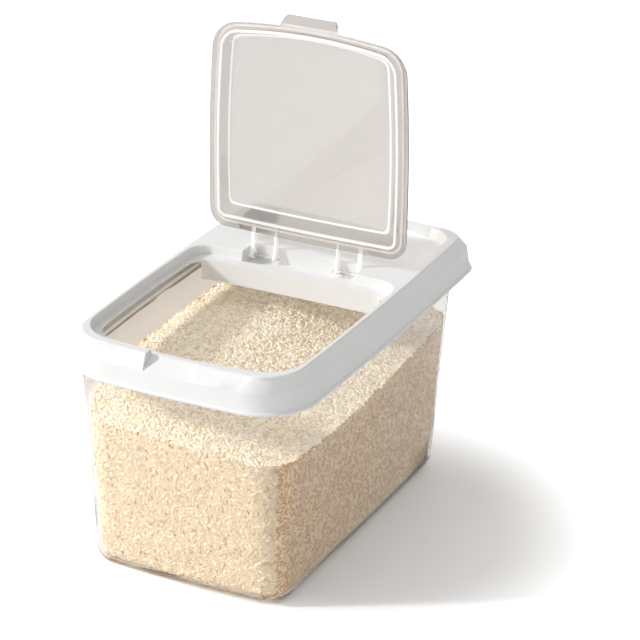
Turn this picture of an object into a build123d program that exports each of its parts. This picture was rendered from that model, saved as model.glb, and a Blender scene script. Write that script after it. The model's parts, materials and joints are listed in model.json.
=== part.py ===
from build123d import *
import math
import os

os.makedirs("parts", exist_ok=True)

# Rice bin with flip lid. Millimetres, X across, Y from front (-) to back (+), Z up.
# The origin is on the table, under the middle of the collar.

# collar: white moulded frame that drops over the tub's rim
COLLAR_HALF_W = 110.0
COLLAR_HALF_L = 180.0
SKIRT_OVERLAP = 9.0
BAND_H = 19.5
SLOPE_H = 13.5
WALL_COLLAR = 2.4
WALL_LOW = 1.8
LEAN_SIDE = 8.1
LEAN_FRONT = 5.6
LEAN_REAR = 13.6
TOP_FRONT_Y = LEAN_FRONT - COLLAR_HALF_L
TOP_REAR_Y = COLLAR_HALF_L - LEAN_REAR
LIP_STEP = 1.3
LIP_H = 3.2
FIT_GAP = 0.3
SHOULDER_T = 2.2
RIB_PLAY = 0.6
RIB_WALL = 1.8
RIB_DROP = 1.2

# tub: clear moulded box, wider towards its rim, which stands inside the collar's skirt
TUB_H = 188.0
TUB_WALL = 2.2
TUB_FLOOR = 3.4
TUB_FOOT_R = 14.0
FOOT_RECESS = 1.2
FOOT_RING_W = 6.0
RIM_UPRIGHT = 8.0
RIM_IN_SIDE = 5.5
RIM_IN_FRONT = 5.7
RIM_IN_REAR = 20.9
DRAFT_SIDE = 12.6
DRAFT_FRONT = 6.4
DRAFT_REAR = 21.7
TUB_LOW_R = 23.7
TUB_RIM_R = 37.6
TUB_RIM_HALF_W = COLLAR_HALF_W - RIM_IN_SIDE
TUB_RIM_FRONT_Y = RIM_IN_FRONT - COLLAR_HALF_L
TUB_RIM_REAR_Y = COLLAR_HALF_L - RIM_IN_REAR
TUB_LOW_HALF_W = TUB_RIM_HALF_W - DRAFT_SIDE
TUB_LOW_FRONT_Y = TUB_RIM_FRONT_Y + DRAFT_FRONT
TUB_LOW_REAR_Y = TUB_RIM_REAR_Y - DRAFT_REAR
TUB_LOW_Z = TUB_FOOT_R + 2.25
TUB_UPRIGHT_Z = TUB_H - RIM_UPRIGHT
SKIRT_Z = TUB_H - SKIRT_OVERLAP
CREASE_Z = SKIRT_Z + BAND_H
DECK_Z = CREASE_Z + SLOPE_H

# mouth with the sunk seat for the lid
STRIP_SIDE = 5.1
STRIP_FRONT = 8.9
MOUTH_L = 205.0
SEAT_DEPTH = 8.0
SEAT_T = 2.4
SEAT_SIDE = 4.4
SEAT_FRONT = 12.0
SEAT_REAR = 13.5
INNER_T = 2.2
BAFFLE_DROP = 26.5
RIM_HALF_W = COLLAR_HALF_W - LEAN_SIDE - STRIP_SIDE
RIM_FRONT_Y = TOP_FRONT_Y + STRIP_FRONT
RIM_REAR_Y = RIM_FRONT_Y + MOUTH_L
SEAT_Z = DECK_Z - SEAT_DEPTH
THROAT_HALF_W = RIM_HALF_W - SEAT_SIDE
THROAT_FRONT_Y = RIM_FRONT_Y + SEAT_FRONT
THROAT_REAR_Y = RIM_REAR_Y - SEAT_REAR
BAFFLE_LOW_Z = DECK_Z - BAFFLE_DROP

# hinge pocket behind the mouth
POCKET_HALF_W = 53.5
POCKET_DEPTH = 13.0
POCKET_L = 20.9
POCKET_LAP = 3.0
PIN_FROM_BACK = 4.2
PIN_DROP = 7.8
PIN_R = 1.8
PIN_BORE_GAP = 0.08
PIN_PRESS_DEPTH = 4.5
PIN_BOSS_R = 4.0
SLOT_W = 10.0
SLOT_L = 6.5
SLOT_FROM_PIN = 9.6
POCKET_FRONT_Y = RIM_REAR_Y - POCKET_LAP
POCKET_REAR_Y = POCKET_FRONT_Y + POCKET_L
POCKET_FLOOR_Z = DECK_Z - POCKET_DEPTH
HINGE_Y = POCKET_REAR_Y - PIN_FROM_BACK
HINGE_Z = DECK_Z - PIN_DROP

# rear tray in the deck
TRAY_HALF_W = 91.0
TRAY_FROM_POCKET = 24.6
TRAY_FROM_EDGE = 4.8
TRAY_DEPTH = 10.0
TRAY_R_FRONT = 22.0
TRAY_R_REAR = 27.0
TRAY_FRONT_Y = POCKET_REAR_Y + TRAY_FROM_POCKET
TRAY_REAR_Y = TOP_REAR_Y - TRAY_FROM_EDGE

# finger notch in the front band
NOTCH_HALF_W = 23.8
NOTCH_INNER_DROP = 3.4
NOTCH_INNER_Z = DECK_Z - NOTCH_INNER_DROP

# lid: clear flip lid, drawn closed and swung open about its pins
LID_OPEN = 91.5
FLANGE_T = 2.2
LID_SIDE_PLAY = 3.4
LID_FRONT_PLAY = 9.6
LID_V_REAR = 19.9
BEAD_H = 1.2
BEAD_OUT = (4.0, 1.4, 4.2)
BEAD_INN = (6.2, 3.4, 6.2)
RIB_H = 2.0
RIB_FROM = (8.2, 5.6, 9.2)
RIB_TO = (10.2, 7.6, 11.2)
PANEL_LIFT = 4.0
COVE_FROM = (10.6, 8.0, 11.6)
COVE_TO = (16.4, 9.4, 20.0)
COVE_WALL = (1.2, 2.1, 1.0)
BORDER_T = 1.8
BORDER_H = 0.9
ARM_PLAY = 0.6
ARM_T = 3.6
ARM_BACK = 3.6
FIN_X = 29.6
FIN_T = 2.2
EYE_R = 3.5
TAB_HALF_W = 26.4
TAB_PLAY = 0.8
TAB_L = 8.1
LID_HALF_W = RIM_HALF_W - LID_SIDE_PLAY
LID_FRONT_Y = RIM_FRONT_Y + LID_FRONT_PLAY
LID_REAR_Y = HINGE_Y - LID_V_REAR
ARM_X = POCKET_HALF_W - ARM_PLAY - ARM_T / 2

# rice: heaped to the left of the middle, lowest along the front and right walls
RICE_WALL_GAP = 0.3
RICE_BELOW_RIM = 59.0
HEAP_H = 38.0
HEAP_X = -35.0
HEAP_REACH = 45.0
HEAP_SIDE = 150.0
RIGHT_RISE = 10.0
RISE_FROM_Y = -60.0
RISE_RUN = 170.0
PAST_WALL = 15.0
RICE_LOW_Z = TUB_H - RICE_BELOW_RIM


def plan(z, half, x_front, x_rear, y_front, y_rear, in_front, in_rear, r_front, r_rear):
    """Rounded four-sided outline with bowed sides, as a face at height z."""
    mid = (y_front + y_rear) / 2
    fl = (-x_front, y_front + in_front)
    fr = (x_front, y_front + in_front)
    rr = (x_rear, y_rear - in_rear)
    rl = (-x_rear, y_rear - in_rear)
    edges = [
        ThreePointArc(fl, (0, y_front), fr),
        ThreePointArc(fr, (half, mid), rr),
        ThreePointArc(rr, (0, y_rear), rl),
        ThreePointArc(rl, (-half, mid), fl),
    ]
    face = Face(Wire(edges))
    rear = [v for v in face.vertices() if v.Y > mid]
    face = face.fillet_2d(r_rear, rear)
    low = sorted(face.vertices(), key=lambda v: v.Y)[:2]
    face = face.fillet_2d(r_front, low)
    return Pos(0, 0, z) * face


def ruled(sections):
    return Solid.make_loft([s.outer_wire() for s in sections], True)


def mix(a, b, t):
    return tuple(p * (1 - t) + q * t for p, q in zip(a, b))


def inset(shape, d):
    half, xf, xr, yf, yr, bf, br, rf, rr = shape
    return (half - d, xf - d, xr - d, yf + d, yr - d, bf, br, max(rf - d, 2.0), max(rr - d, 2.0))


def margin(shape, in_by, more=0.0):
    """The outline drawn in by its own amount at the sides, the front and the rear."""
    half, xf, xr, yf, yr, bf, br, rf, rr = shape
    side, front, rear = [d + more for d in in_by]
    corners = (max(rf - side, 6.0), max(rr - side, 6.0))
    return (half - side, xf - side, xr - side, yf + front, yr - rear, bf, br) + corners


def block(x0, x1, y0, y1, z0, z1):
    return Pos((x0 + x1) / 2, (y0 + y1) / 2, (z0 + z1) / 2) * Box(x1 - x0, y1 - y0, z1 - z0)


def plate_yz(points, x0, x1):
    """Plate with an outline in the Y-Z plane, from x0 to x1."""
    wire = Polyline(*[(x0, y, z) for y, z in points], close=True)
    return extrude(Face(Wire(wire.edges())), amount=x1 - x0, dir=(1, 0, 0))


def rod_x(x0, x1, y, z, r):
    return Pos((x0 + x1) / 2, y, z) * (Rot(0, 90, 0) * Cylinder(r, x1 - x0))


def save(part, name, label):
    part.label = label
    export_step(part, os.path.join("parts", name + ".step"))
    box = part.bounding_box()
    print(name, "solids", len(part.solids()), "volume", round(part.volume), box.min, box.max)


# ---------------------------------------------------------------- outlines
SKIRT_X = COLLAR_HALF_W - 3.4
SKIRT = (COLLAR_HALF_W, SKIRT_X, SKIRT_X + 0.4, -COLLAR_HALF_L, COLLAR_HALF_L, 4.5, 2.3, 48.0, 26.0)
CREASE_HALF = COLLAR_HALF_W - LEAN_SIDE * BAND_H / (BAND_H + SLOPE_H)
CREASE_X = CREASE_HALF - 3.4
CREASE = (CREASE_HALF, CREASE_X, CREASE_X + 0.4, -COLLAR_HALF_L, COLLAR_HALF_L - 1.2, 4.5, 2.4, 44.0, 25.0)
TOP_HALF = COLLAR_HALF_W - LEAN_SIDE
TOP = (TOP_HALF, TOP_HALF - 3.6, TOP_HALF - 3.5, TOP_FRONT_Y, TOP_REAR_Y, 7.1, 4.2, 32.0, 23.0)
RIM = (RIM_HALF_W, RIM_HALF_W - 3.0, RIM_HALF_W - 1.6, RIM_FRONT_Y, RIM_REAR_Y, 6.5, 3.0, 32.0, 17.0)
THROAT_X = THROAT_HALF_W - 3.0
THROAT = (THROAT_HALF_W, THROAT_X, THROAT_X + 1.4, THROAT_FRONT_Y, THROAT_REAR_Y, 6.5, 0.8, 27.0, 14.0)
TRAY_R_MOST = 0.36 * (TRAY_REAR_Y - TRAY_FRONT_Y)
TRAY_R = (min(TRAY_R_FRONT, TRAY_R_MOST), min(TRAY_R_REAR, TRAY_R_MOST))
TRAY = (TRAY_HALF_W, TRAY_HALF_W - 1.0, TRAY_HALF_W - 1.0, TRAY_FRONT_Y, TRAY_REAR_Y, 2.0, 3.4) + TRAY_R
LOW_X = TUB_LOW_HALF_W - 1.4
RIM_X = TUB_RIM_HALF_W - 4.7
TUB_LOW = (TUB_LOW_HALF_W, LOW_X, LOW_X, TUB_LOW_FRONT_Y, TUB_LOW_REAR_Y, 3.3, 3.3, TUB_LOW_R, TUB_LOW_R)
TUB_RIM = (TUB_RIM_HALF_W, RIM_X, RIM_X, TUB_RIM_FRONT_Y, TUB_RIM_REAR_Y, 4.1, 4.1, TUB_RIM_R, TUB_RIM_R)
LID = (LID_HALF_W, LID_HALF_W - 4.3, LID_HALF_W - 0.7, LID_FRONT_Y, LID_REAR_Y, 7.0, 1.0, 26.0, 16.0)


def tub_at(z):
    """Tub outline at height z; the last few millimetres under the rim stand upright."""
    return mix(TUB_LOW, TUB_RIM, (min(z, TUB_UPRIGHT_Z) - TUB_LOW_Z) / (TUB_UPRIGHT_Z - TUB_LOW_Z))


def collar_at(z):
    if z < CREASE_Z:
        return mix(SKIRT, CREASE, (z - SKIRT_Z) / (CREASE_Z - SKIRT_Z))
    return mix(CREASE, TOP, (z - CREASE_Z) / (DECK_Z - CREASE_Z))


def prism(shape, z0, z1):
    return ruled([plan(z0, *shape), plan(z1, *shape)])


# --------------------------------------------------------------------- tub
FOOT_STEPS = 8
WALL_STEPS = 6


def tub_layers(z, drawn_in, foot_r):
    """Sections of a body like the tub, from a rounded foot at height z up to its upright rim."""
    layers = []
    for k in range(FOOT_STEPS + 1):
        turn = math.pi / 2 * k / FOOT_STEPS
        level = z + foot_r * (1 - math.cos(turn))
        layers.append(plan(level, *inset(tub_at(level), drawn_in + foot_r * (1 - math.sin(turn)))))
    for k in range(1, WALL_STEPS + 1):
        level = z + foot_r + (TUB_UPRIGHT_Z - z - foot_r) * k / WALL_STEPS
        layers.append(plan(level, *inset(tub_at(level), drawn_in)))
    return layers


outer = ruled(tub_layers(0, 0, TUB_FOOT_R) + [
    plan(TUB_H - 0.6, *tub_at(TUB_H - 0.6)),
    plan(TUB_H, *inset(tub_at(TUB_H), 0.5)),
])
cavity = ruled(tub_layers(TUB_FLOOR, TUB_WALL, TUB_FOOT_R - TUB_WALL) + [
    plan(TUB_H - 0.5, *inset(tub_at(TUB_H), TUB_WALL)),
    plan(TUB_H + 1, *inset(tub_at(TUB_H), TUB_WALL - 1.2)),
])
tub = outer - cavity
foot_cut = prism(inset(tub_at(0), TUB_FOOT_R + FOOT_RING_W), -1.0, FOOT_RECESS)
tub -= foot_cut
save(tub, "tub", "tub")

# ------------------------------------------------------------------ collar
STEP_Z = SKIRT_Z + LIP_H
sections = [
    plan(SKIRT_Z, *inset(SKIRT, 0.6)),
    plan(SKIRT_Z + 0.8, *SKIRT),
    plan(STEP_Z - 1.0, *inset(collar_at(STEP_Z - 1.0), -0.1)),
    plan(STEP_Z, *inset(collar_at(STEP_Z), LIP_STEP)),
    plan(CREASE_Z, *CREASE),
    plan(DECK_Z - 0.8, *collar_at(DECK_Z - 0.8)),
    plan(DECK_Z, *inset(TOP, 0.6)),
]
shell = ruled(sections)
DECK_UNDER = DECK_Z - WALL_COLLAR
hollow = ruled([
    plan(SKIRT_Z - 0.5, *inset(SKIRT, WALL_COLLAR)),
    plan(STEP_Z, *inset(collar_at(STEP_Z), LIP_STEP + WALL_LOW)),
    plan(CREASE_Z, *inset(CREASE, WALL_COLLAR)),
    plan(DECK_UNDER, *inset(collar_at(DECK_UNDER), WALL_COLLAR + 0.3)),
])
collar = shell - hollow

# shoulder and locating rib that sit on and in the tub's rim
SHOULDER_Z = TUB_H + FIT_GAP
RIB_OUT = TUB_WALL + RIB_PLAY
RIB_INN = RIB_OUT + RIB_WALL
shoulder = prism(inset(collar_at(SHOULDER_Z), WALL_COLLAR - 0.6), SHOULDER_Z, SHOULDER_Z + SHOULDER_T)
shoulder -= prism(inset(tub_at(TUB_H), RIB_INN), SHOULDER_Z - 1, SHOULDER_Z + SHOULDER_T + 1)
rib = prism(inset(tub_at(TUB_H), RIB_OUT), SHOULDER_Z - RIB_DROP, SHOULDER_Z + 1)
rib -= prism(inset(tub_at(TUB_H), RIB_INN), SHOULDER_Z - RIB_DROP - 1, SHOULDER_Z + 2)
collar = collar + shoulder + rib

# lip wall, seat and throat round the mouth
seat_block = prism(inset(RIM, -INNER_T), SEAT_Z - SEAT_T, DECK_Z - 0.5)
collar += seat_block
baffle_x = THROAT_HALF_W - 7.4
baffle = block(-baffle_x, baffle_x, THROAT_REAR_Y - 12, THROAT_REAR_Y + INNER_T, BAFFLE_LOW_Z, SEAT_Z - 1)
baffle = baffle & prism(inset(THROAT, -INNER_T), BAFFLE_LOW_Z, SEAT_Z - 1)
collar += baffle

# hinge pocket box
pocket_box = block(
    -POCKET_HALF_W - INNER_T, POCKET_HALF_W + INNER_T,
    POCKET_FRONT_Y - INNER_T, POCKET_REAR_Y + INNER_T,
    POCKET_FLOOR_Z - INNER_T, DECK_Z - 0.5,
)
collar += pocket_box
for side in (-1, 1):
    inner_x = side * POCKET_HALF_W
    boss_x = inner_x + side * (PIN_PRESS_DEPTH + 1.0)
    collar += rod_x(min(inner_x, boss_x), max(inner_x, boss_x), HINGE_Y, HINGE_Z, PIN_BOSS_R)

# rear tray pan
tray_low = DECK_Z - TRAY_DEPTH
pan = ruled([plan(tray_low - INNER_T, *inset(TRAY, 2.0)), plan(DECK_Z - 0.5, *inset(TRAY, -INNER_T))])
pan = pan & prism(inset(collar_at(DECK_UNDER), 1.0), tray_low - 3, DECK_Z)
collar += pan

# openings
collar -= prism(THROAT, BAFFLE_LOW_Z - 5, DECK_Z + 5)
collar -= ruled([
    plan(SEAT_Z, *RIM),
    plan(DECK_Z - 0.9, *inset(RIM, -0.2)),
    plan(DECK_Z + 0.1, *inset(RIM, -1.2)),
])
pocket_cut = block(-POCKET_HALF_W, POCKET_HALF_W, POCKET_FRONT_Y, POCKET_REAR_Y, POCKET_FLOOR_Z, DECK_Z + 5)
pocket_cut = fillet(pocket_cut.edges().filter_by(Axis.Z).sort_by(Axis.Y)[-2:], 0.8)
collar -= pocket_cut
collar -= ruled([
    plan(tray_low, *inset(TRAY, 5.0)),
    plan(tray_low + 1.0, *inset(TRAY, 2.6)),
    plan(tray_low + 3.2, *inset(TRAY, 1.4)),
    plan(DECK_Z - 0.8, *inset(TRAY, 0.2)),
    plan(DECK_Z + 0.1, *inset(TRAY, -0.8)),
])
slot_y = HINGE_Y - SLOT_FROM_PIN
for side in (-1, 1):
    slot_x = side * FIN_X
    collar -= block(
        slot_x - SLOT_W / 2, slot_x + SLOT_W / 2,
        slot_y - SLOT_L / 2, slot_y + SLOT_L / 2,
        POCKET_FLOOR_Z - 5, POCKET_FLOOR_Z + 1,
    )
    pin_x = side * (POCKET_HALF_W + PIN_PRESS_DEPTH)
    start_x = side * (POCKET_HALF_W - 2.0)
    collar -= rod_x(min(start_x, pin_x), max(start_x, pin_x), HINGE_Y, HINGE_Z, PIN_R)

# finger notch: a flat ramp cut down through the front band
ramp = [
    (-COLLAR_HALF_L - 1.2, CREASE_Z - 0.9),
    (RIM_FRONT_Y + 1.5, NOTCH_INNER_Z + 0.5),
    (RIM_FRONT_Y + 1.5, DECK_Z + 3),
    (-COLLAR_HALF_L - 1.2, DECK_Z + 3),
]
notch_out = NOTCH_HALF_W + INNER_T
backing = plate_yz([
    (-COLLAR_HALF_L + 3.0, CREASE_Z - 1.5),
    (-COLLAR_HALF_L + 3.0, CREASE_Z + 2.5),
    (RIM_FRONT_Y - 1.0, NOTCH_INNER_Z + 0.2),
    (RIM_FRONT_Y + 0.2, NOTCH_INNER_Z - 0.5),
    (RIM_FRONT_Y + 0.2, SEAT_Z - SEAT_T),
], -notch_out, notch_out)
side_walls = block(-notch_out, notch_out, -COLLAR_HALF_L + 4.0, RIM_FRONT_Y - 0.2, SEAT_Z, DECK_Z - 0.5)
side_walls = side_walls & shell
backing = (backing & shell) + side_walls
collar += backing
collar -= plate_yz(ramp, -NOTCH_HALF_W, NOTCH_HALF_W)

save(collar, "collar", "collar")

# ------------------------------------------------------------- hinge pins
for side, name in ((-1, "hinge_pin_left"), (1, "hinge_pin_right")):
    far = side * (POCKET_HALF_W + PIN_PRESS_DEPTH - 0.3)
    near = side * (FIN_X - FIN_T / 2 - 2.2)
    pin = rod_x(min(far, near), max(far, near), HINGE_Y, HINGE_Z, PIN_R)
    tip = pin.edges().sort_by(Axis.X)[0 if side > 0 else -1]
    pin = chamfer(tip, 0.4)
    save(pin, name, name)

# --------------------------------------------------------------------- lid
flange_z = SEAT_Z + FIT_GAP
flange_top = flange_z + FLANGE_T
flange = prism(LID, flange_z, flange_top)
panel_z = flange_z + PANEL_LIFT
cove_out = [a - t for a, t in zip(COVE_FROM, COVE_WALL)]
panel_out = [a - t for a, t in zip(COVE_TO, COVE_WALL)]
dome = ruled([
    plan(flange_top - 0.3, *margin(LID, cove_out)),
    plan(panel_z + FLANGE_T, *margin(LID, panel_out)),
])
lid = flange + dome
lid -= ruled([plan(flange_z - 0.1, *margin(LID, COVE_FROM)), plan(panel_z, *margin(LID, COVE_TO))])


def ring(out_by, inn_by, z0, z1, more=0.0):
    return prism(margin(LID, out_by), z0, z1) - prism(margin(LID, inn_by, more), z0 - 1, z1 + 1)


lid += ring(BEAD_OUT, BEAD_INN, flange_top - 0.5, flange_top + BEAD_H)
lid += ring(RIB_FROM, RIB_TO, flange_z - RIB_H, flange_z + 0.5)
lid += ring(COVE_TO, COVE_TO, panel_z - BORDER_H, panel_z + 0.5, BORDER_T)

for x, t in ((-ARM_X, ARM_T), (ARM_X, ARM_T), (-FIN_X, FIN_T), (FIN_X, FIN_T)):
    arm = plate_yz([
        (HINGE_Y + 0.6, HINGE_Z - EYE_R + 0.1),
        (HINGE_Y + 3.0, HINGE_Z - 1.2),
        (HINGE_Y + 3.2, HINGE_Z + 2.0),
        (HINGE_Y + 1.2, HINGE_Z + ARM_BACK - 0.3),
        (HINGE_Y - 1.6, HINGE_Z + ARM_BACK),
        (LID_REAR_Y + 3.0, HINGE_Z + ARM_BACK),
        (LID_REAR_Y - 7.0, flange_top + 0.6),
        (LID_REAR_Y - 7.0, flange_z + 0.4),
        (LID_REAR_Y + 3.0, flange_z),
        (POCKET_FRONT_Y + 3.4, flange_z + 0.2),
        (HINGE_Y - 3.2, HINGE_Z - 2.4),
    ], x - t / 2, x + t / 2)
    lid += arm
    lid += rod_x(x - t / 2, x + t / 2, HINGE_Y, HINGE_Z, EYE_R)
for side in (-1, 1):
    bore_ends = sorted((side * (FIN_X - FIN_T - 1.4), side * (ARM_X + ARM_T)))
    bore = rod_x(bore_ends[0], bore_ends[1], HINGE_Y, HINGE_Z, PIN_R + PIN_BORE_GAP)
    lid -= bore

# grip tab: rises from the front edge, narrows and curls over the notch
tab_rows = [
    (LID_FRONT_Y + 3.0, flange_z + 0.1, flange_top, TAB_HALF_W),
    (LID_FRONT_Y - 1.0, flange_z + 0.3, flange_top + 0.4, TAB_HALF_W - 0.2),
    (LID_FRONT_Y - 3.6, flange_z + 1.2, flange_top + 1.4, TAB_HALF_W - 0.8),
    (LID_FRONT_Y - 6.0, flange_z + 3.0, flange_top + 3.0, TAB_HALF_W - 2.0),
    (LID_FRONT_Y - TAB_L, flange_z + 5.2, flange_top + 4.9, min(NOTCH_HALF_W - TAB_PLAY, TAB_HALF_W - 4.0)),
]
tab_wires = []
for y, low, high, half in tab_rows:
    outline = Polyline((-half, y, low), (half, y, low), (half, y, high), (-half, y, high), close=True)
    tab_wires.append(Wire(outline.edges()))
lid += Solid.make_loft(tab_wires, True)
lid = Pos(0, HINGE_Y, HINGE_Z) * (Rot(-LID_OPEN, 0, 0) * (Pos(0, -HINGE_Y, -HINGE_Z) * lid))
save(lid, "flip_lid", "flip_lid")

# -------------------------------------------------------------------- rice
body = ruled(tub_layers(TUB_FLOOR + RICE_WALL_GAP, TUB_WALL + RICE_WALL_GAP, TUB_FOOT_R - TUB_WALL))


def heap(x, y):
    """Height of the rice at a place."""
    back = 1 - math.exp(-max(y - TUB_RIM_FRONT_Y, 0) / HEAP_REACH)
    if x < HEAP_X:
        across = HEAP_H - 9.0 * ((x - HEAP_X) / 64) ** 2
    else:
        across = HEAP_H * math.cos(math.pi / 2 * min((x - HEAP_X) / HEAP_SIDE, 1)) ** 2
    right = RIGHT_RISE * max(x, 0) / TUB_RIM_HALF_W * min(max((y - RISE_FROM_Y) / RISE_RUN, 0), 1)
    return RICE_LOW_Z + back * across + right


reach_x = TUB_RIM_HALF_W + PAST_WALL
reach_y = TUB_RIM_REAR_Y + 2 * PAST_WALL
grid = []
for i in range(9):
    x = reach_x * (i / 4 - 1)
    grid.append([Vector(x, y, heap(x, y)) for y in [reach_y * (j / 5 - 1) for j in range(11)]])
surface = Face.make_surface_from_array_of_points(grid)
cutter = extrude(surface, amount=2 * TUB_H - RICE_LOW_Z, dir=(0, 0, 1))
rice = body - cutter
save(rice, "rice_fill", "rice_fill")
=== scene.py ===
import bpy
import json
import math
import numpy as np
from mathutils import Matrix, Vector, kdtree


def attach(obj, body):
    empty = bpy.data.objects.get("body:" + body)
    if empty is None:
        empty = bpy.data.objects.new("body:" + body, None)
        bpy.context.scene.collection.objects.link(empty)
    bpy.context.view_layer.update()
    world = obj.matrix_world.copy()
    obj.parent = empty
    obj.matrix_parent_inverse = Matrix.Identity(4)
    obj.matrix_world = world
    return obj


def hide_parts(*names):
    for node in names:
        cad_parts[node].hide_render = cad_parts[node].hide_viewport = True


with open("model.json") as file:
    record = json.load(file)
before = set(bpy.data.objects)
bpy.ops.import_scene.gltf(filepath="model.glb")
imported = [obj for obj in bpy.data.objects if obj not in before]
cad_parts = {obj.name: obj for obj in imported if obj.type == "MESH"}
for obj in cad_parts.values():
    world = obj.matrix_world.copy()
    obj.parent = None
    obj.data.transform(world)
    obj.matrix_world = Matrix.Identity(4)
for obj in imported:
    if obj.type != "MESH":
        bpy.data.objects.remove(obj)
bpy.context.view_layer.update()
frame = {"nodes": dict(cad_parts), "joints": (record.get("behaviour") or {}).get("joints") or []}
nodes = frame["nodes"]
bpy.ops.object.select_all(action="DESELECT")


# Tub. The box that holds the rice: clear polystyrene, injection moulded in a polished tool with
# thin walls, a slight draft and a softly rounded foot. The plastic is glass-clear; only a faint
# flow ripple and the wipe marks of handling show in its reflections.
def linear(hex_colour):
    """An sRGB hex colour as the linear value a shader takes."""
    shares = [int(hex_colour[i:i + 2], 16) / 255 for i in (1, 3, 5)]
    return tuple(c / 12.92 if c <= 0.04045 else ((c + 0.055) / 1.055) ** 2.4
                 for c in shares) + (1.0,)


def add_node(owner, kind, values=None, links=None):
    """Adds a node to a material or the world, with its properties, socket values and links."""
    node = owner.node_tree.nodes.new(kind)
    for name, value in (values or {}).items():
        if isinstance(name, str) and hasattr(node, name):
            setattr(node, name, value)
        else:
            node.inputs[name].default_value = value
    for name, source in (links or {}).items():
        owner.node_tree.links.new(source, node.inputs[name])
    return node


def empty_material(name):
    """A new material with no nodes yet."""
    material = bpy.data.materials.new(name)
    material.use_nodes = True
    material.node_tree.nodes.clear()
    return material


CLEAR_STYRENE_IOR = 1.57
WIPE_MM = 22.0
WIPED_LEAST, WIPED_MOST = 0.6, 1.6


def clear_moulding(name, tint, lamp_tint, clarity, roughness, ripple_mm, ripple_height_mm,
                   bend=CLEAR_STYRENE_IOR):
    """Clear moulded plastic, which scatters a little light and lets the lamp through: the
    material and its wall shader."""
    material = empty_material(name)
    place = add_node(material, "ShaderNodeTexCoord")
    ripple = add_node(material, "ShaderNodeTexNoise", {"Scale": 1000 / ripple_mm, "Detail": 2.0},
                      {"Vector": place.outputs["Object"]})
    bump = add_node(material, "ShaderNodeBump",
                    {"Strength": 0.25, "Distance": ripple_height_mm / 1000},
                    {"Height": ripple.outputs["Fac"]})
    wipe = add_node(material, "ShaderNodeTexNoise",
                    {"Scale": 1000 / WIPE_MM, "Detail": 4.0, "Roughness": 0.65},
                    {"Vector": place.outputs["Object"]})
    haze = add_node(material, "ShaderNodeMapRange",
                    {"To Min": roughness * WIPED_LEAST, "To Max": roughness * WIPED_MOST},
                    {"Value": wipe.outputs["Fac"]})
    wall = add_node(material, "ShaderNodeBsdfPrincipled",
                    {"Base Color": linear(tint), "Transmission Weight": clarity, "IOR": bend},
                    {"Roughness": haze.outputs["Result"], "Normal": bump.outputs["Normal"]})
    lamp = add_node(material, "ShaderNodeBsdfTransparent", {"Color": linear(lamp_tint)})
    path = add_node(material, "ShaderNodeLightPath")
    both = add_node(material, "ShaderNodeMixShader", {},
                    {0: path.outputs["Is Shadow Ray"], 1: wall.outputs[0], 2: lamp.outputs[0]})
    add_node(material, "ShaderNodeOutputMaterial", {}, {"Surface": both.outputs[0]})
    return material, wall


def select_alone(piece):
    """Leaves the piece as the only selected object and the active one."""
    bpy.ops.object.select_all(action="DESELECT")
    piece.select_set(True)
    bpy.context.view_layer.objects.active = piece


MERGE_M = 0.00001
FLAT_WITHIN_DEGREES = 0.4
EASED_OVER_DEGREES = 40


def moulded(node_name, piece_name, body, material, edge_mm, smooth_to=28):
    """A copy of the node that stands for it: seams merged, edges eased, curves smooth."""
    piece = bpy.data.objects.new(piece_name, nodes[node_name].data.copy())
    bpy.context.scene.collection.objects.link(piece)
    select_alone(piece)
    bpy.ops.object.mode_set(mode="EDIT")
    bpy.ops.mesh.select_all(action="SELECT")
    bpy.ops.mesh.remove_doubles(threshold=MERGE_M)
    bpy.ops.mesh.dissolve_limited(angle_limit=math.radians(FLAT_WITHIN_DEGREES))
    bpy.ops.object.mode_set(mode="OBJECT")
    if edge_mm:
        ease = piece.modifiers.new("ease", "BEVEL")
        ease.width = edge_mm / 1000
        ease.segments = 2
        ease.limit_method = "ANGLE"
        ease.angle_limit = math.radians(EASED_OVER_DEGREES)
        bpy.ops.object.modifier_apply(modifier="ease")
    bpy.ops.object.shade_smooth_by_angle(angle=math.radians(smooth_to))
    piece.data.materials.clear()
    piece.data.materials.append(material)
    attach(piece, body)
    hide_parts(node_name)
    return piece


# the IOR is below that of polystyrene, so that reflections veil the rice no more than real ones
TUB_IOR = 1.32
TUB_CLARITY, FOOT_CLARITY = 0.96, 0.08
tub_plastic, tub_wall = clear_moulding(
    "clear_polystyrene_tub", "#fbf9f6", "#f8f7f5", clarity=TUB_CLARITY, roughness=0.02,
    ripple_mm=60.0, ripple_height_mm=0.05, bend=TUB_IOR)
place = add_node(tub_plastic, "ShaderNodeTexCoord")
at = add_node(tub_plastic, "ShaderNodeSeparateXYZ", {}, {0: place.outputs["Object"]})

# the thick foot scatters more, is painted in the rice's tone and darker with painted shade at the
# table
FOOT_MM = 12.0
FOOT_PAINTED_TONES = ((0.07, "#9c8873"), (0.12, "#e9dccd"), (0.6, "#efe2d2"))
FOOT_HAZY_TO_MM, FOOT_CLEAR_FROM_MM = 4.0, 8.0
rise = add_node(tub_plastic, "ShaderNodeMapRange", {"From Max": FOOT_MM / 1000},
                {"Value": at.outputs["Z"]})
foot_painted_tones = add_node(tub_plastic, "ShaderNodeValToRGB", {}, {"Fac": rise.outputs["Result"]})
# the darkest tone, at the table, is painted contact shade
foot_painted_tones.color_ramp.elements[0].color = linear("#8d7862")
foot_painted_tones.color_ramp.elements[1].color = linear("#fbf9f6")
for share, colour in FOOT_PAINTED_TONES:
    foot_painted_tones.color_ramp.elements.new(share).color = linear(colour)
clearing = add_node(tub_plastic, "ShaderNodeMapRange",
                    {"From Min": FOOT_HAZY_TO_MM / 1000, "From Max": FOOT_CLEAR_FROM_MM / 1000,
                     "To Min": FOOT_CLARITY, "To Max": TUB_CLARITY},
                    {"Value": at.outputs["Z"]})
tub_plastic.node_tree.links.new(clearing.outputs["Result"], tub_wall.inputs["Transmission Weight"])
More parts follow.
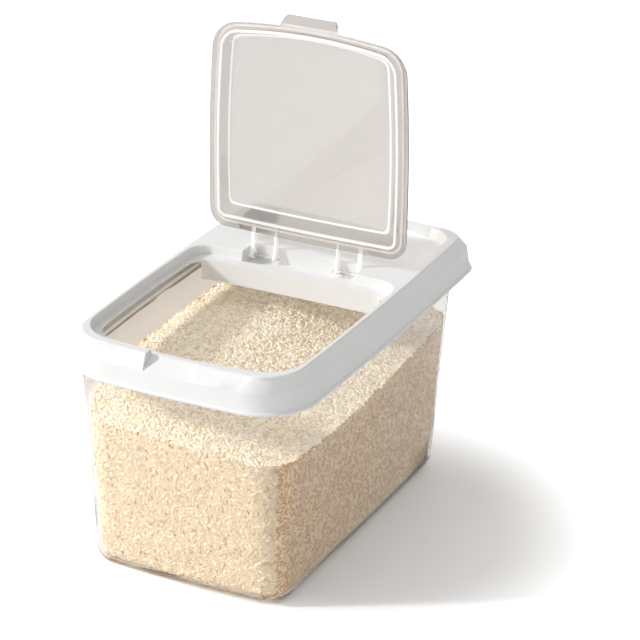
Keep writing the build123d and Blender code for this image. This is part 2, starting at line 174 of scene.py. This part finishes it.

# above the rice, which lies highest at the left wall, that wall is painted a beige shade
LEFT_SHADE_X_MM = (-86.0, -92.0)
LEFT_SHADE_Z_MM = (146.0, 156.0)
leftward = add_node(tub_plastic, "ShaderNodeMapRange",
                    {"From Min": LEFT_SHADE_X_MM[0] / 1000, "From Max": LEFT_SHADE_X_MM[1] / 1000},
                    {"Value": at.outputs["X"]})
upward = add_node(tub_plastic, "ShaderNodeMapRange",
                  {"From Min": LEFT_SHADE_Z_MM[0] / 1000, "From Max": LEFT_SHADE_Z_MM[1] / 1000},
                  {"Value": at.outputs["Z"]})
left_shade_share = add_node(tub_plastic, "ShaderNodeMath", {"operation": "MULTIPLY"},
                 {0: leftward.outputs["Result"], 1: upward.outputs["Result"]})
# a multiply with beige grey, as painted shade on the left wall above the rice
left_painted_shade = add_node(tub_plastic, "ShaderNodeMix",
                  {"data_type": "RGBA", "blend_type": "MULTIPLY", 7: linear("#dcd5cd")},
                  {0: left_shade_share.outputs[0], 6: foot_painted_tones.outputs["Color"]})
tub_plastic.node_tree.links.new(left_painted_shade.outputs[2], tub_wall.inputs["Base Color"])
moulded("tub", "tub_clear_wall", "bin", tub_plastic, edge_mm=0)


# Rice. Loose dry short-grain rice, about 5 mm long, poured in and heaped a little to the left.
# Grains against a wall lie nearly flat on it, those on top lie any way. Behind them is the mass of
# the others, the solid of the rice drawn in by 1 mm, which shows in the gaps between the grains.
GRAIN_MM = (4.7, 2.9, 2.3)
GRAIN_PITCH_MM = 2.15
GRAINS_IN_PIECE = 5400
rng = np.random.default_rng(7)

# polished rice is creamy, and light goes into it: the skin scatters it, and a painted glow,
# strongest on the palest grains, stands in for the light the grains pass on to each other; the
# relief is drawn coarse enough to show
RELIEF_MM, RELIEF_HEIGHT_MM = 1.4, 0.2
rice_material = empty_material("dry_short_grain_rice")
tone = add_node(rice_material, "ShaderNodeAttribute", {"attribute_name": "grain_tone"})
rice_tones = add_node(rice_material, "ShaderNodeValToRGB", {}, {"Fac": tone.outputs["Fac"]})
rice_tones.color_ramp.elements[0].color = linear("#c6985f")
rice_tones.color_ramp.elements[1].color = linear("#fdf3e2")
rice_tones.color_ramp.elements.new(0.35).color = linear("#e3d0b6")
place = add_node(rice_material, "ShaderNodeTexCoord")
relief = add_node(rice_material, "ShaderNodeTexNoise", {"Scale": 1000 / RELIEF_MM, "Detail": 2.0},
                  {"Vector": place.outputs["Object"]})
uneven = add_node(rice_material, "ShaderNodeBump",
                  {"Strength": 0.2, "Distance": RELIEF_HEIGHT_MM / 1000},
                  {"Height": relief.outputs["Fac"]})
# painted glow, rising with the grain's tone, so the pale grains on top glow most
painted_glow = add_node(rice_material, "ShaderNodeMapRange",
                     {"From Min": 0.6, "To Min": 0.05, "To Max": 0.20},
                     {"Value": tone.outputs["Fac"]})
grain_skin = add_node(rice_material, "ShaderNodeBsdfPrincipled",
                      {"Roughness": 0.42, "IOR": 1.45, "Subsurface Weight": 0.6,
                       "Subsurface Radius": (0.6, 0.55, 0.5), "Subsurface Scale": 0.001},
                      {"Base Color": rice_tones.outputs["Color"],
                       "Emission Color": rice_tones.outputs["Color"],
                       "Emission Strength": painted_glow.outputs["Result"],
                       "Normal": uneven.outputs["Normal"]})
add_node(rice_material, "ShaderNodeOutputMaterial", {}, {"Surface": grain_skin.outputs[0]})

# one grain, a rounded seed of a few faces, blunter at one end than at the other
END_FROM = 0.3
END_TAPER = 0.12
bpy.ops.mesh.primitive_uv_sphere_add(segments=6, ring_count=4, radius=0.5,
                                     rotation=(0, math.pi / 2, 0))
grain = bpy.context.object
bpy.ops.object.transform_apply(location=False, rotation=True, scale=True)
bpy.ops.object.mode_set(mode="EDIT")
bpy.ops.mesh.select_all(action="SELECT")
bpy.ops.mesh.quads_convert_to_tris()
bpy.ops.object.mode_set(mode="OBJECT")
grain_points = np.array([v.co for v in grain.data.vertices])
lengthwise = grain_points[:, :1]
grain_points[:, 1:] *= np.where(np.abs(lengthwise) > END_FROM,
                                1.0 - END_TAPER * np.sign(lengthwise), 1.0)
grain_points *= np.array(GRAIN_MM) / 1000

# Blender lists the triangles in another order each time, so they are put in one fixed order
loose_faces = [tuple(p.vertices) for p in grain.data.polygons]
first_corners = [f.index(min(f)) for f in loose_faces]
grain_faces = np.array(sorted(f[k:] + f[:k] for f, k in zip(loose_faces, first_corners)))
bpy.data.objects.remove(grain)

# the triangles of the rice solid, on which the grains are laid
rice_mesh = nodes["rice_fill"].data
rice_mesh.calc_loop_triangles()
rice_points = np.empty(len(rice_mesh.vertices) * 3)
rice_mesh.vertices.foreach_get("co", rice_points)
tri = np.empty(len(rice_mesh.loop_triangles) * 3, dtype=np.int32)
rice_mesh.loop_triangles.foreach_get("vertices", tri)
corner = rice_points.reshape(-1, 3)[tri.reshape(-1, 3)]
across = np.cross(corner[:, 1] - corner[:, 0], corner[:, 2] - corner[:, 0])
size = np.linalg.norm(across, axis=1)
area = size / 2
facing = across / np.maximum(size, 1e-12)[:, None]


def room_for(cells, key, spot, pitch):
    """Whether every grain laid so far is at least the pitch away from the spot."""
    limit = pitch * pitch
    for i in (-1, 0, 1):
        for j in (-1, 0, 1):
            for k in (-1, 0, 1):
                for other in cells.get((key[0] + i, key[1] + j, key[2] + k), ()):
                    dx, dy, dz = spot[0] - other[0], spot[1] - other[1], spot[2] - other[2]
                    if dx * dx + dy * dy + dz * dz < limit:
                        return False
    return True


TRIES_PER_GRAIN = 3.5


def spaced(want, pitch):
    """Random places on the wanted triangles, no two nearer than the pitch, and their normals."""
    chosen = np.flatnonzero(want & (area > 0))
    count = int(area[chosen].sum() / pitch ** 2 * TRIES_PER_GRAIN)
    picked = rng.choice(chosen, count, p=area[chosen] / area[chosen].sum())
    u, v = rng.random((2, count))
    fold = u + v > 1
    u[fold], v[fold] = 1 - u[fold], 1 - v[fold]
    a, b, c = corner[picked, 0], corner[picked, 1], corner[picked, 2]
    spots = a + u[:, None] * (b - a) + v[:, None] * (c - a)
    cells = {}
    kept = []
    keys = np.floor(spots / pitch).astype(int).tolist()
    for n, (key, spot) in enumerate(zip(keys, spots.tolist())):
        if room_for(cells, key, spot, pitch):
            cells.setdefault(tuple(key), []).append(spot)
            kept.append(n)
    return spots[kept], facing[picked[kept]]


def any_way(normals):
    """A random direction in the surface at each place."""
    helper = np.where(np.abs(normals[:, 2:3]) > 0.8, [[1.0, 0, 0]], [[0, 0, 1.0]])
    first = np.cross(helper, normals)
    first /= np.linalg.norm(first, axis=1)[:, None]
    spin = rng.uniform(0, 2 * math.pi, len(normals))[:, None]
    return np.cos(spin) * first + np.sin(spin) * np.cross(normals, first)


MOST_LEAN, ROLL = 2.5, 1.6
GROWTH_SPREAD, LEAST_GROWTH, MOST_GROWTH = 0.07, 0.8, 1.2
SINK_OF_LEANING = 0.8
TONE_BALANCE = (2.2, 1.6)


def pour(name, spots, normals, along, tilt, sink, painted_light_bias):
    """Grains at the spots, lying along the given ways and tipped out of the surface by the tilt.

    A bias of 0 to 1 leaves out the dark tones, as painted light, and one of 0 to -1 the pale ones,
    as painted shade.
    """
    count = len(spots)
    lean = rng.normal(0, tilt, count).clip(-MOST_LEAN * tilt, MOST_LEAN * tilt)
    length = along * np.cos(lean)[:, None] + normals * np.sin(lean)[:, None]
    side = np.cross(normals, length)
    side /= np.linalg.norm(side, axis=1)[:, None]
    up = np.cross(length, side)
    roll = rng.normal(0, tilt * ROLL, count)[:, None]
    side, up = side * np.cos(roll) + up * np.sin(roll), up * np.cos(roll) - side * np.sin(roll)
    growth = rng.normal(1.0, GROWTH_SPREAD, (count, 1)).clip(LEAST_GROWTH, MOST_GROWTH)
    depth = sink + np.abs(np.sin(lean)) * GRAIN_MM[0] / 2000 * SINK_OF_LEANING
    centre = spots - normals * depth[:, None]
    points = grain_points[None] * growth[:, :, None]
    verts = centre[:, None, :] + points[:, :, 0:1] * length[:, None, :]
    verts = verts + points[:, :, 1:2] * side[:, None, :]
    verts = verts + points[:, :, 2:3] * up[:, None, :]
    faces = grain_faces[None] + (np.arange(count) * len(grain_points))[:, None, None]
    mesh = bpy.data.meshes.new(name)
    mesh.vertices.add(count * len(grain_points))
    mesh.vertices.foreach_set("co", verts.astype(np.float32).ravel())
    total = count * len(grain_faces)
    mesh.loops.add(total * 3)
    mesh.loops.foreach_set("vertex_index", faces.astype(np.int32).ravel())
    mesh.polygons.add(total)
    mesh.polygons.foreach_set("loop_start", np.arange(0, total * 3, 3, dtype=np.int32))
    mesh.polygons.foreach_set("use_smooth", np.ones(total, dtype=bool))
    mesh.update()
    tones = rng.beta(*TONE_BALANCE, count) * (1 - abs(painted_light_bias)) + max(painted_light_bias, 0.0)
    grain_tone = mesh.attributes.new("grain_tone", "FLOAT", "POINT")
    grain_tone.data.foreach_set("value", np.repeat(tones, len(grain_points)).astype(np.float32))
    mesh.materials.append(rice_material)
    piece = bpy.data.objects.new(name, mesh)
    bpy.context.scene.collection.objects.link(piece)
    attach(piece, "bin")


def in_pieces(name, spots, normals, along, tilt, sink, order, painted_light_bias=0.0):
    """Pours the grains as pieces of at most GRAINS_IN_PIECE, cut in order along the given axis."""
    line = np.argsort(spots[:, order])
    parts = math.ceil(len(line) / GRAINS_IN_PIECE)
    for k, part in enumerate(np.array_split(line, parts)):
        piece_name = name if parts == 1 else f"{name}_{k + 1}"
        pour(piece_name, spots[part], normals[part], along[part], tilt, sink[part], painted_light_bias)


# against the walls and the floor, tilts in radians and sinks in metres
X, Y = 0, 1
PITCH = GRAIN_PITCH_MM / 1000
FACES_UP, FACES_OUT = 0.5, 0.7
WALL_TILT, FLOOR_TILT = 0.16, 0.15
HALF_GRAIN, SINK_SPREAD = GRAIN_MM[2] / 2000, 0.0004
is_top = facing[:, 2] > FACES_UP
is_foot = facing[:, 2] < -FACES_OUT
wall_spots, wall_normals = spaced(~is_top & ~is_foot, PITCH)
wall_ways = any_way(wall_normals)
wall_sink = HALF_GRAIN + np.abs(rng.normal(0, SINK_SPREAD, len(wall_spots)))
facing_front = wall_normals[:, 1] < -FACES_OUT
facing_back = wall_normals[:, 1] > FACES_OUT
facing_right = (wall_normals[:, 0] > 0) & ~facing_front & ~facing_back
facing_left = ~(facing_front | facing_back | facing_right)
# tone biases by side are painted light and shade: darkest at the shaded right wall, paler at the
# left
for name, chosen, order, painted_light_bias in (
    ("rice_at_front_wall", facing_front, X, -0.1),
    ("rice_at_right_wall", facing_right, Y, -0.88),
    ("rice_at_rear_wall", facing_back, X, 0.0),
    ("rice_at_left_wall", facing_left, Y, 0.1),
):
    in_pieces(name, wall_spots[chosen], wall_normals[chosen], wall_ways[chosen], WALL_TILT,
              wall_sink[chosen], order, painted_light_bias)

foot_spots, foot_normals = spaced(is_foot, PITCH)
foot_sink = HALF_GRAIN + np.abs(rng.normal(0, SINK_SPREAD, len(foot_spots)))
in_pieces("rice_at_floor", foot_spots, foot_normals, any_way(foot_normals), FLOOR_TILT,
          foot_sink, Y)

# on top, a grain close to a wall lies along it, and one that would poke through is left out
TOP_TILT = 0.14
TOP_SINK, TOP_SINK_SPREAD, MOST_TOP_SINK = 0.0008, 0.0003, 0.0016
BY_WALL, TOO_CLOSE, CLOSE = 0.008, 0.0014, 0.0032
top_spots, top_normals = spaced(is_top, PITCH)
walls = kdtree.KDTree(len(wall_spots))
for n, spot in enumerate(wall_spots.tolist()):
    walls.insert(spot, n)
walls.balance()
top_ways = any_way(top_normals)
keep = np.ones(len(top_spots), dtype=bool)
for n, spot in enumerate(top_spots.tolist()):
    _, by, gap = walls.find(spot)
    away = float(np.dot(wall_spots[by] - top_spots[n], wall_normals[by]))
    if gap < BY_WALL and away < TOO_CLOSE:
        keep[n] = False
    elif gap < BY_WALL and away < CLOSE:
        way = np.cross(top_normals[n], wall_normals[by])
        top_ways[n] = way / np.linalg.norm(way)
top_spots, top_normals, top_ways = top_spots[keep], top_normals[keep], top_ways[keep]
top_sink = rng.normal(TOP_SINK, TOP_SINK_SPREAD, len(top_spots)).clip(0.0, MOST_TOP_SINK)
# on top only the paler tones are used, as painted light
in_pieces("rice_on_top", top_spots, top_normals, top_ways, TOP_TILT, top_sink, Y, 0.6)

# the mass behind them shows as small pale grains with warmer joints, lightened by a painted glow
MASS_GRAIN_MM = 2.2
DRAWN_IN_MM = 1.0
core_material = empty_material("rice_in_deep_shade")
place = add_node(core_material, "ShaderNodeTexCoord")
mass_grains = add_node(core_material, "ShaderNodeTexVoronoi", {"Scale": 1000 / MASS_GRAIN_MM},
                       {"Vector": place.outputs["Object"]})
depths = add_node(core_material, "ShaderNodeValToRGB", {},
                  {"Fac": mass_grains.outputs["Distance"]})
depths.color_ramp.elements[0].color = linear("#ecd9ba")
depths.color_ramp.elements[1].color = linear("#d6bf9b")
depths.color_ramp.elements[1].position = 0.8
# the emission is a painted glow that lightens the shaded gaps between the grains
mass = add_node(core_material, "ShaderNodeBsdfPrincipled",
                {"Roughness": 0.9, "Emission Strength": 0.16},
                {"Base Color": depths.outputs["Color"], "Emission Color": depths.outputs["Color"]})
add_node(core_material, "ShaderNodeOutputMaterial", {}, {"Surface": mass.outputs[0]})

core = bpy.data.objects.new("rice_mass", nodes["rice_fill"].data.copy())
bpy.context.scene.collection.objects.link(core)
select_alone(core)
bpy.ops.object.mode_set(mode="EDIT")
bpy.ops.mesh.select_all(action="SELECT")
bpy.ops.mesh.remove_doubles(threshold=MERGE_M)
bpy.ops.transform.shrink_fatten(value=-DRAWN_IN_MM / 1000)
bpy.ops.object.mode_set(mode="OBJECT")
core.data.materials.clear()
core.data.materials.append(core_material)
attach(core, "bin")
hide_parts("rice_fill")


# Collar. The white frame that presses down over the tub's rim: white ABS, injection moulded in a
# finely eroded tool, which gives the broad soft highlights of a satin surface. The real grit is
# finer than 0.1 mm and is drawn coarser, so that it shows.
MOTTLE_MM = 35.0
GRIT_MM, GRIT_HEIGHT_MM = 0.9, 0.2
collar_plastic = empty_material("white_moulded_abs")
place = add_node(collar_plastic, "ShaderNodeTexCoord")
mottle = add_node(collar_plastic, "ShaderNodeTexNoise",
                  {"Scale": 1000 / MOTTLE_MM, "Detail": 3.0}, {"Vector": place.outputs["Object"]})
shade = add_node(collar_plastic, "ShaderNodeValToRGB", {}, {"Fac": mottle.outputs["Fac"]})
shade.color_ramp.elements[0].color = linear("#efefee")
shade.color_ramp.elements[1].color = linear("#f3f3f2")
grit = add_node(collar_plastic, "ShaderNodeTexNoise", {"Scale": 1000 / GRIT_MM, "Detail": 2.0},
                {"Vector": place.outputs["Object"]})
fine = add_node(collar_plastic, "ShaderNodeBump",
                {"Strength": 0.06, "Distance": GRIT_HEIGHT_MM / 1000},
                {"Height": grit.outputs["Fac"]})
satin = add_node(collar_plastic, "ShaderNodeMapRange", {"To Min": 0.34, "To Max": 0.46},
                 {"Value": mottle.outputs["Fac"]})
skin = add_node(collar_plastic, "ShaderNodeBsdfPrincipled", {"IOR": 1.53},
                {"Base Color": shade.outputs["Color"], "Roughness": satin.outputs["Result"],
                 "Normal": fine.outputs["Normal"]})
add_node(collar_plastic, "ShaderNodeOutputMaterial", {}, {"Surface": skin.outputs[0]})
collar = moulded("collar", "collar_white_frame", "frame", collar_plastic,
                 edge_mm=0.35, smooth_to=12)

# the crease between the upright band and the slope above it stays sharp
CREASE_Z, CREASE_WITHIN = 0.1985, 0.0003
for edge in collar.data.edges:
    ends = [collar.data.vertices[v].co.z for v in edge.vertices]
    if all(abs(z - CREASE_Z) < CREASE_WITHIN for z in ends):
        edge.use_edge_sharp = True


# Hinge pins. Two short rods moulded in clear polystyrene and pressed into the walls of the hinge
# pocket. They are a little hazier than the tub.
pin_plastic, _ = clear_moulding(
    "clear_polystyrene_pins", "#f4f4f2", "#f0f0ee", clarity=0.8, roughness=0.05,
    ripple_mm=20.0, ripple_height_mm=0.02)
for side in ("left", "right"):
    moulded("hinge_pin_" + side, "pin_" + side, "frame", pin_plastic, edge_mm=0)


# Flip lid. One clear moulding, a little greyer than the tub, with a raised panel, a bead along its
# edge, a seal rib under it, four arms to the pins and a grip tab. Light runs inside the sheet and
# leaves it at the bead, rib, border and arms, which look white: these get a hazier white plastic
# with a painted glow as their highlight, and the flange's upper faces a greyer tint as painted
# shade.
LID_RIPPLE_MM, LID_RIPPLE_HEIGHT_MM = 50.0, 0.05
lid_plastic, _ = clear_moulding(
    "clear_polystyrene_lid", "#e0dbd7", "#d9d5d1", clarity=0.93, roughness=0.03,
    ripple_mm=LID_RIPPLE_MM, ripple_height_mm=LID_RIPPLE_HEIGHT_MM)
rib_painted_highlight, rib_highlight_shader = clear_moulding(
    "clear_polystyrene_ribs_painted_highlight", "#fffdfb", "#b9b2aa", clarity=0.22, roughness=0.2,
    ripple_mm=LID_RIPPLE_MM, ripple_height_mm=LID_RIPPLE_HEIGHT_MM)
# a painted glow on the bead, rib, border and arms, as their highlight
rib_highlight_shader.inputs["Emission Color"].default_value = linear("#ffffff")
rib_highlight_shader.inputs["Emission Strength"].default_value = 0.12
# the flange's upper faces get a greyer tint, as painted shade
edge_painted_shade, _ = clear_moulding(
    "clear_polystyrene_edge_painted_shade", "#c0bab5", "#cfc9c4", clarity=0.95, roughness=0.03,
    ripple_mm=LID_RIPPLE_MM, ripple_height_mm=LID_RIPPLE_HEIGHT_MM)
lid = moulded("flip_lid", "lid_clear_flap", "lid", lid_plastic, edge_mm=0.3)
lid.data.materials.append(rib_painted_highlight)
lid.data.materials.append(edge_painted_shade)

# each face gets its plastic by where it lies on the shut lid, in metres: the plain sheet, the
# painted highlight or the painted shade
SHEET, HIGHLIGHTED, SHADED = 0, 1, 2
FLANGE_Z, FLANGE_TOP_Z, BEAD_TOP_Z = 0.2043, 0.2065, 0.2077
BORDER_LOW_Z, PANEL_Z = 0.2074, 0.2083
LID_BACK_Y = 0.0333
NEAR = 0.0001
SHUT_DEGREES = 91.5
hinge = Vector(next(j for j in frame["joints"] if j["name"] == "lid_hinge")["pos_m"])
shut = (Matrix.Translation(hinge) @ Matrix.Rotation(math.radians(SHUT_DEGREES), 4, "X")
        @ Matrix.Translation(-hinge))
for face in lid.data.polygons:
    spots = [shut @ lid.data.vertices[v].co for v in face.vertices]
    low = min(spot.z for spot in spots)
    high = max(spot.z for spot in spots)
    back = max(spot.y for spot in spots)
    bead = low > FLANGE_TOP_Z - NEAR / 2 and FLANGE_TOP_Z + 2 * NEAR < high < BEAD_TOP_Z + NEAR
    rib = low < FLANGE_Z - 3 * NEAR and high < FLANGE_Z + NEAR and back < LID_BACK_Y
    border = BORDER_LOW_Z - NEAR < low < PANEL_Z - 3 * NEAR and high < PANEL_Z + NEAR
    arm = back > LID_BACK_Y + 10 * NEAR
    panel = low > PANEL_Z - NEAR and high - low < 4 * NEAR
    faces_up = (shut.to_3x3() @ face.normal).z > 0.1
    if bead or rib or border or arm:
        face.material_index = HIGHLIGHTED
    elif faces_up and not panel:
        face.material_index = SHADED
    else:
        face.material_index = SHEET


# Studio. A white table under soft white surroundings, dimmer to the right, with one sun-like lamp
# from the front left. Seen directly, the table has a painted glow that grows away from the bin, so
# that the bin's shadow fades to white.
TABLE_M, TABLE_Y, TABLE_Z = 14.0, 2.0, -0.0002
SHADOW_X, SHADOW_REACH_X, SHADOW_REACH_Y = 0.065, 0.24, 0.215
FADE_FROM, FADE_TO = 0.55, 1.15
TABLE_GLOW, TABLE_WHITE = 0.13, 0.75
bpy.ops.mesh.primitive_plane_add(size=TABLE_M, location=(0.0, TABLE_Y, TABLE_Z))
table = bpy.context.object
table.name = "studio_table"
table_paint = empty_material("white_table")
matt = add_node(table_paint, "ShaderNodeBsdfPrincipled",
                {"Base Color": linear("#f8f8f8"), "Roughness": 0.7, "Specular IOR Level": 0.1})
path = add_node(table_paint, "ShaderNodeLightPath")
mirrored = add_node(table_paint, "ShaderNodeMath", {"operation": "MAXIMUM"},
                    {0: path.outputs["Is Glossy Ray"], 1: path.outputs["Is Transmission Ray"]})
place = add_node(table_paint, "ShaderNodeTexCoord")
about = add_node(table_paint, "ShaderNodeMapping",
                 {"Location": (-SHADOW_X / SHADOW_REACH_X, TABLE_Y / SHADOW_REACH_Y, 0.0),
                  "Scale": (1 / SHADOW_REACH_X, 1 / SHADOW_REACH_Y, 0.0)},
                 {"Vector": place.outputs["Object"]})
away = add_node(table_paint, "ShaderNodeVectorMath", {"operation": "LENGTH"},
                {0: about.outputs["Vector"]})
# a painted glow, seen directly, which grows away from the bin and fades its shadow out
shadow_fading_glow = add_node(table_paint, "ShaderNodeMapRange",
                {"interpolation_type": "SMOOTHSTEP", "From Min": FADE_FROM, "From Max": FADE_TO,
                 "To Min": TABLE_GLOW, "To Max": TABLE_WHITE},
                {"Value": away.outputs["Value"]})
direct = add_node(table_paint, "ShaderNodeMath", {"operation": "MULTIPLY"},
                  {0: path.outputs["Is Camera Ray"], 1: shadow_fading_glow.outputs["Result"]})
strength = add_node(table_paint, "ShaderNodeMath", {"operation": "MULTIPLY_ADD", 1: TABLE_GLOW},
                    {0: mirrored.outputs[0], 2: direct.outputs[0]})
glow = add_node(table_paint, "ShaderNodeEmission", {"Color": linear("#ffffff")},
                {"Strength": strength.outputs[0]})
added = add_node(table_paint, "ShaderNodeAddShader", {}, {0: matt.outputs[0], 1: glow.outputs[0]})
add_node(table_paint, "ShaderNodeOutputMaterial", {}, {"Surface": added.outputs[0]})
table.data.materials.append(table_paint)

# the surroundings: near white where they are seen, and at a plain level as light on the bin
BACKGROUND = 0.95
LEFT_LIGHT, RIGHT_LIGHT, FRONT_LIGHT = 0.76, 0.27, 0.08
world = bpy.data.worlds.new("studio_world")
bpy.context.scene.world = world
world.use_nodes = True
world.node_tree.nodes.clear()
path = add_node(world, "ShaderNodeLightPath")
mirrored = add_node(world, "ShaderNodeMath", {"operation": "MAXIMUM"},
                    {0: path.outputs["Is Glossy Ray"], 1: path.outputs["Is Transmission Ray"]})
seen = add_node(world, "ShaderNodeMath", {"operation": "MAXIMUM"},
                {0: path.outputs["Is Camera Ray"], 1: mirrored.outputs[0]})
way = add_node(world, "ShaderNodeTexCoord")
sides = add_node(world, "ShaderNodeSeparateXYZ", {}, {0: way.outputs["Generated"]})
from_side = add_node(world, "ShaderNodeMapRange",
                     {"From Min": -0.4, "To Min": LEFT_LIGHT, "To Max": RIGHT_LIGHT},
                     {"Value": sides.outputs["X"]})
from_front = add_node(world, "ShaderNodeMapRange", {"From Max": -1.0, "To Max": FRONT_LIGHT},
                      {"Value": sides.outputs["Y"]})
soft = add_node(world, "ShaderNodeMath", {},
                {0: from_side.outputs["Result"], 1: from_front.outputs["Result"]})
level = add_node(world, "ShaderNodeMapRange", {"To Max": BACKGROUND},
                 {"Value": seen.outputs[0], "To Min": soft.outputs[0]})
sky = add_node(world, "ShaderNodeBackground", {"Color": linear("#ffffff")},
               {"Strength": level.outputs["Result"]})
add_node(world, "ShaderNodeOutputWorld", {}, {"Surface": sky.outputs[0]})

LAMP_ENERGY, LAMP_DEGREES = 2.05, 5.0
TO_LAMP = Vector((-0.75, -0.45, 0.48))
key_data = bpy.data.lights.new("key", "SUN")
key_data.energy = LAMP_ENERGY
key_data.angle = math.radians(LAMP_DEGREES)
key = bpy.data.objects.new("key", key_data)
bpy.context.scene.collection.objects.link(key)
key.location = TO_LAMP * 2.0
key.rotation_euler = (-TO_LAMP).to_track_quat("-Z", "Y").to_euler()

# the photograph's own viewing angle, from the front right and above through a long lens
camera_data = bpy.data.cameras.new("camera")
camera_data.lens = 163.6
camera_data.sensor_width = 36.0
camera_data.clip_end = 50.0
camera = bpy.data.objects.new("camera", camera_data)
bpy.context.scene.collection.objects.link(camera)
camera.location = (1.05263, -1.95202, 1.19952)
camera.rotation_euler = (math.radians(65.19), 0.0, math.radians(27.39))
bpy.context.scene.camera = camera
bpy.context.scene.view_settings.view_transform = "Standard"
